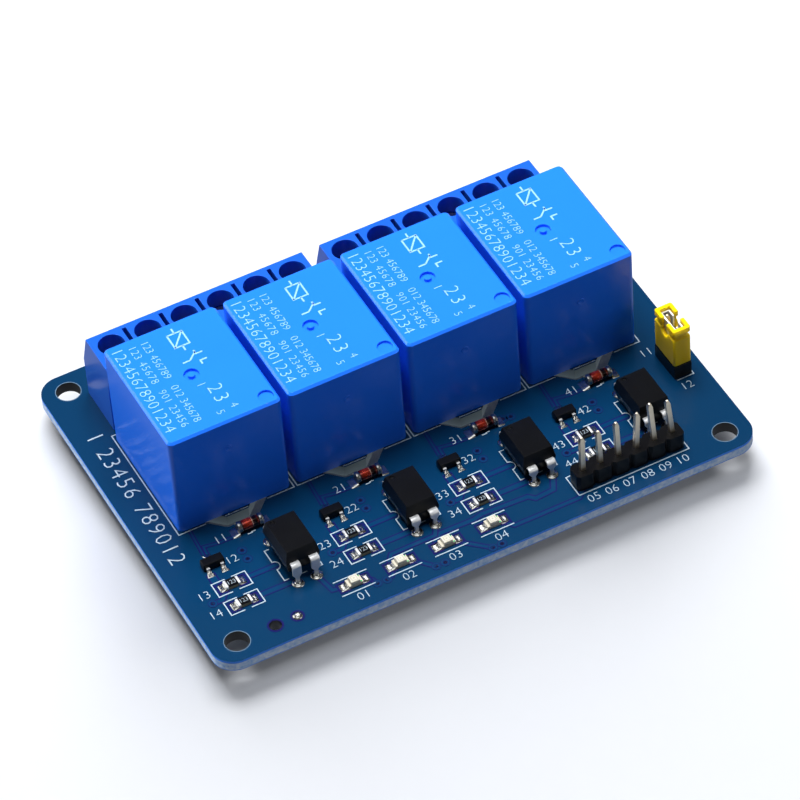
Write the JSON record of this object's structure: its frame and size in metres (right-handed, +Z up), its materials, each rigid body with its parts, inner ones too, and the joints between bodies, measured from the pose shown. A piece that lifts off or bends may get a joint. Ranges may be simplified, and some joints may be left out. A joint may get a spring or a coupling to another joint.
{
  "type": "relay module board",
  "caption": "Blue circuit board with a row of cube relays, screw terminal blocks along one edge, and driver parts, a pin header and a push-on link along the other.",
  "frame": {"origin": "centre of the four mounting holes, on the underside of the board", "axes": "+X along the input edge, +Y towards the screw terminals, +Z up out of the component side"},
  "size_m": [0.075, 0.0546, 0.0193],
  "materials": {
    "board_laminate": "glossy blue solder mask on glass-fibre laminate",
    "relay_plastic": "satin moulded plastic",
    "terminal_plastic": "satin moulded nylon",
    "tinned_metal": "bright tin plate",
    "screw_steel": "bright zinc plate",
    "clamp_steel": "bright nickel plate",
    "header_plastic": "satin moulded",
    "pin_brass": "pale plated brass",
    "cap_plastic": "satin moulded",
    "black_resin": "moulded epoxy",
    "diode_glass": "tinted glass",
    "resistor_ceramic": "overglazed ceramic",
    "lamp_base": "white laminate",
    "lamp_lens": "cast clear resin over phosphor"
  },
  "bodies": {
    "board": {"circuit_board": "board_laminate", "diode_caps": "tinned_metal", "diode_glass": "diode_glass", "input_header_body": "header_plastic", "input_header_pins": "pin_brass", "led_bases": "lamp_base", "led_lenses": "lamp_lens", "link_header_body": "header_plastic", "link_header_pins": "pin_brass", "optocoupler_body_1": "black_resin", "optocoupler_body_2": "black_resin", "optocoupler_body_3": "black_resin", "optocoupler_body_4": "black_resin", "optocoupler_leads_1": "tinned_metal", "optocoupler_leads_2": "tinned_metal", "optocoupler_leads_3": "tinned_metal", "optocoupler_leads_4": "tinned_metal", "relay_case_1": "relay_plastic", "relay_case_2": "relay_plastic", "relay_case_3": "relay_plastic", "relay_case_4": "relay_plastic", "relay_pins_1": "tinned_metal", "relay_pins_2": "tinned_metal", "relay_pins_3": "tinned_metal", "relay_pins_4": "tinned_metal", "resistor_bodies": "resistor_ceramic", "resistor_ends": "tinned_metal", "terminal_contacts_left": "tinned_metal", "terminal_contacts_right": "tinned_metal", "terminal_housing_left": "terminal_plastic", "terminal_housing_right": "terminal_plastic", "transistor_bodies": "black_resin", "transistor_leads": "tinned_metal"},
    "link": {"link_cap": "cap_plastic", "link_contact": "clamp_steel"},
    "screw_1": {"terminal_screw_1": "screw_steel"},
    "clamp_1": {"terminal_clamp_1": "clamp_steel"},
    "screw_2": {"terminal_screw_2": "screw_steel"},
    "clamp_2": {"terminal_clamp_2": "clamp_steel"},
    "screw_3": {"terminal_screw_3": "screw_steel"},
    "clamp_3": {"terminal_clamp_3": "clamp_steel"},
    "screw_4": {"terminal_screw_4": "screw_steel"},
    "clamp_4": {"terminal_clamp_4": "clamp_steel"},
    "screw_5": {"terminal_screw_5": "screw_steel"},
    "clamp_5": {"terminal_clamp_5": "clamp_steel"},
    "screw_6": {"terminal_screw_6": "screw_steel"},
    "clamp_6": {"terminal_clamp_6": "clamp_steel"},
    "screw_7": {"terminal_screw_7": "screw_steel"},
    "clamp_7": {"terminal_clamp_7": "clamp_steel"},
    "screw_8": {"terminal_screw_8": "screw_steel"},
    "clamp_8": {"terminal_clamp_8": "clamp_steel"},
    "screw_9": {"terminal_screw_9": "screw_steel"},
    "clamp_9": {"terminal_clamp_9": "clamp_steel"},
    "screw_10": {"terminal_screw_10": "screw_steel"},
    "clamp_10": {"terminal_clamp_10": "clamp_steel"},
    "screw_11": {"terminal_screw_11": "screw_steel"},
    "clamp_11": {"terminal_clamp_11": "clamp_steel"},
    "screw_12": {"terminal_screw_12": "screw_steel"},
    "clamp_12": {"terminal_clamp_12": "clamp_steel"}
  },
  "joints": [
    {"name": "screw_turn_1", "type": "hinge", "parent": "board", "child": "screw_1", "pos_m": [-0.02915, 0.0192, 0.0091], "axis": [0, 0, -1], "range_deg": [0, 1261]},
    {"name": "clamp_lift_1", "type": "slide", "parent": "board", "child": "clamp_1", "axis": [0, 0, 1], "range_m": [0, 0.00175]},
    {"name": "screw_turn_2", "type": "hinge", "parent": "board", "child": "screw_2", "pos_m": [-0.02407, 0.0192, 0.0091], "axis": [0, 0, -1], "range_deg": [0, 1261]},
    {"name": "clamp_lift_2", "type": "slide", "parent": "board", "child": "clamp_2", "axis": [0, 0, 1], "range_m": [0, 0.00175]},
    {"name": "screw_turn_3", "type": "hinge", "parent": "board", "child": "screw_3", "pos_m": [-0.01899, 0.0192, 0.0091], "axis": [0, 0, -1], "range_deg": [0, 1261]},
    {"name": "clamp_lift_3", "type": "slide", "parent": "board", "child": "clamp_3", "axis": [0, 0, 1], "range_m": [0, 0.00175]},
    {"name": "screw_turn_4", "type": "hinge", "parent": "board", "child": "screw_4", "pos_m": [-0.01391, 0.0192, 0.0091], "axis": [0, 0, -1], "range_deg": [0, 1261]},
    {"name": "clamp_lift_4", "type": "slide", "parent": "board", "child": "clamp_4", "axis": [0, 0, 1], "range_m": [0, 0.00175]},
    {"name": "screw_turn_5", "type": "hinge", "parent": "board", "child": "screw_5", "pos_m": [-0.00883, 0.0192, 0.0091], "axis": [0, 0, -1], "range_deg": [0, 1261]},
    {"name": "clamp_lift_5", "type": "slide", "parent": "board", "child": "clamp_5", "axis": [0, 0, 1], "range_m": [0, 0.00175]},
    {"name": "screw_turn_6", "type": "hinge", "parent": "board", "child": "screw_6", "pos_m": [-0.00375, 0.0192, 0.0091], "axis": [0, 0, -1], "range_deg": [0, 1261]},
    {"name": "clamp_lift_6", "type": "slide", "parent": "board", "child": "clamp_6", "axis": [0, 0, 1], "range_m": [0, 0.00175]},
    {"name": "screw_turn_7", "type": "hinge", "parent": "board", "child": "screw_7", "pos_m": [0.00375, 0.0192, 0.0091], "axis": [0, 0, -1], "range_deg": [0, 1261]},
    {"name": "clamp_lift_7", "type": "slide", "parent": "board", "child": "clamp_7", "axis": [0, 0, 1], "range_m": [0, 0.00175]},
    {"name": "screw_turn_8", "type": "hinge", "parent": "board", "child": "screw_8", "pos_m": [0.00883, 0.0192, 0.0091], "axis": [0, 0, -1], "range_deg": [0, 1261]},
    {"name": "clamp_lift_8", "type": "slide", "parent": "board", "child": "clamp_8", "axis": [0, 0, 1], "range_m": [0, 0.00175]},
    {"name": "screw_turn_9", "type": "hinge", "parent": "board", "child": "screw_9", "pos_m": [0.01391, 0.0192, 0.0091], "axis": [0, 0, -1], "range_deg": [0, 1261]},
    {"name": "clamp_lift_9", "type": "slide", "parent": "board", "child": "clamp_9", "axis": [0, 0, 1], "range_m": [0, 0.00175]},
    {"name": "screw_turn_10", "type": "hinge", "parent": "board", "child": "screw_10", "pos_m": [0.01899, 0.0192, 0.0091], "axis": [0, 0, -1], "range_deg": [0, 1261]},
    {"name": "clamp_lift_10", "type": "slide", "parent": "board", "child": "clamp_10", "axis": [0, 0, 1], "range_m": [0, 0.00175]},
    {"name": "screw_turn_11", "type": "hinge", "parent": "board", "child": "screw_11", "pos_m": [0.02407, 0.0192, 0.0091], "axis": [0, 0, -1], "range_deg": [0, 1261]},
    {"name": "clamp_lift_11", "type": "slide", "parent": "board", "child": "clamp_11", "axis": [0, 0, 1], "range_m": [0, 0.00175]},
    {"name": "screw_turn_12", "type": "hinge", "parent": "board", "child": "screw_12", "pos_m": [0.02915, 0.0192, 0.0091], "axis": [0, 0, -1], "range_deg": [0, 1261]},
    {"name": "clamp_lift_12", "type": "slide", "parent": "board", "child": "clamp_12", "axis": [0, 0, 1], "range_m": [0, 0.00175]},
    {"name": "link_pull", "type": "slide", "parent": "board", "child": "link", "axis": [0, 0, 1], "range_m": [0, 0.006]}
  ],
  "couplings": [
    {"joint": "screw_turn_1", "follows": "clamp_lift_1", "rad_per_m": 12566},
    {"joint": "screw_turn_2", "follows": "clamp_lift_2", "rad_per_m": 12566},
    {"joint": "screw_turn_3", "follows": "clamp_lift_3", "rad_per_m": 12566},
    {"joint": "screw_turn_4", "follows": "clamp_lift_4", "rad_per_m": 12566},
    {"joint": "screw_turn_5", "follows": "clamp_lift_5", "rad_per_m": 12566},
    {"joint": "screw_turn_6", "follows": "clamp_lift_6", "rad_per_m": 12566},
    {"joint": "screw_turn_7", "follows": "clamp_lift_7", "rad_per_m": 12566},
    {"joint": "screw_turn_8", "follows": "clamp_lift_8", "rad_per_m": 12566},
    {"joint": "screw_turn_9", "follows": "clamp_lift_9", "rad_per_m": 12566},
    {"joint": "screw_turn_10", "follows": "clamp_lift_10", "rad_per_m": 12566},
    {"joint": "screw_turn_11", "follows": "clamp_lift_11", "rad_per_m": 12566},
    {"joint": "screw_turn_12", "follows": "clamp_lift_12", "rad_per_m": 12566}
  ]
}
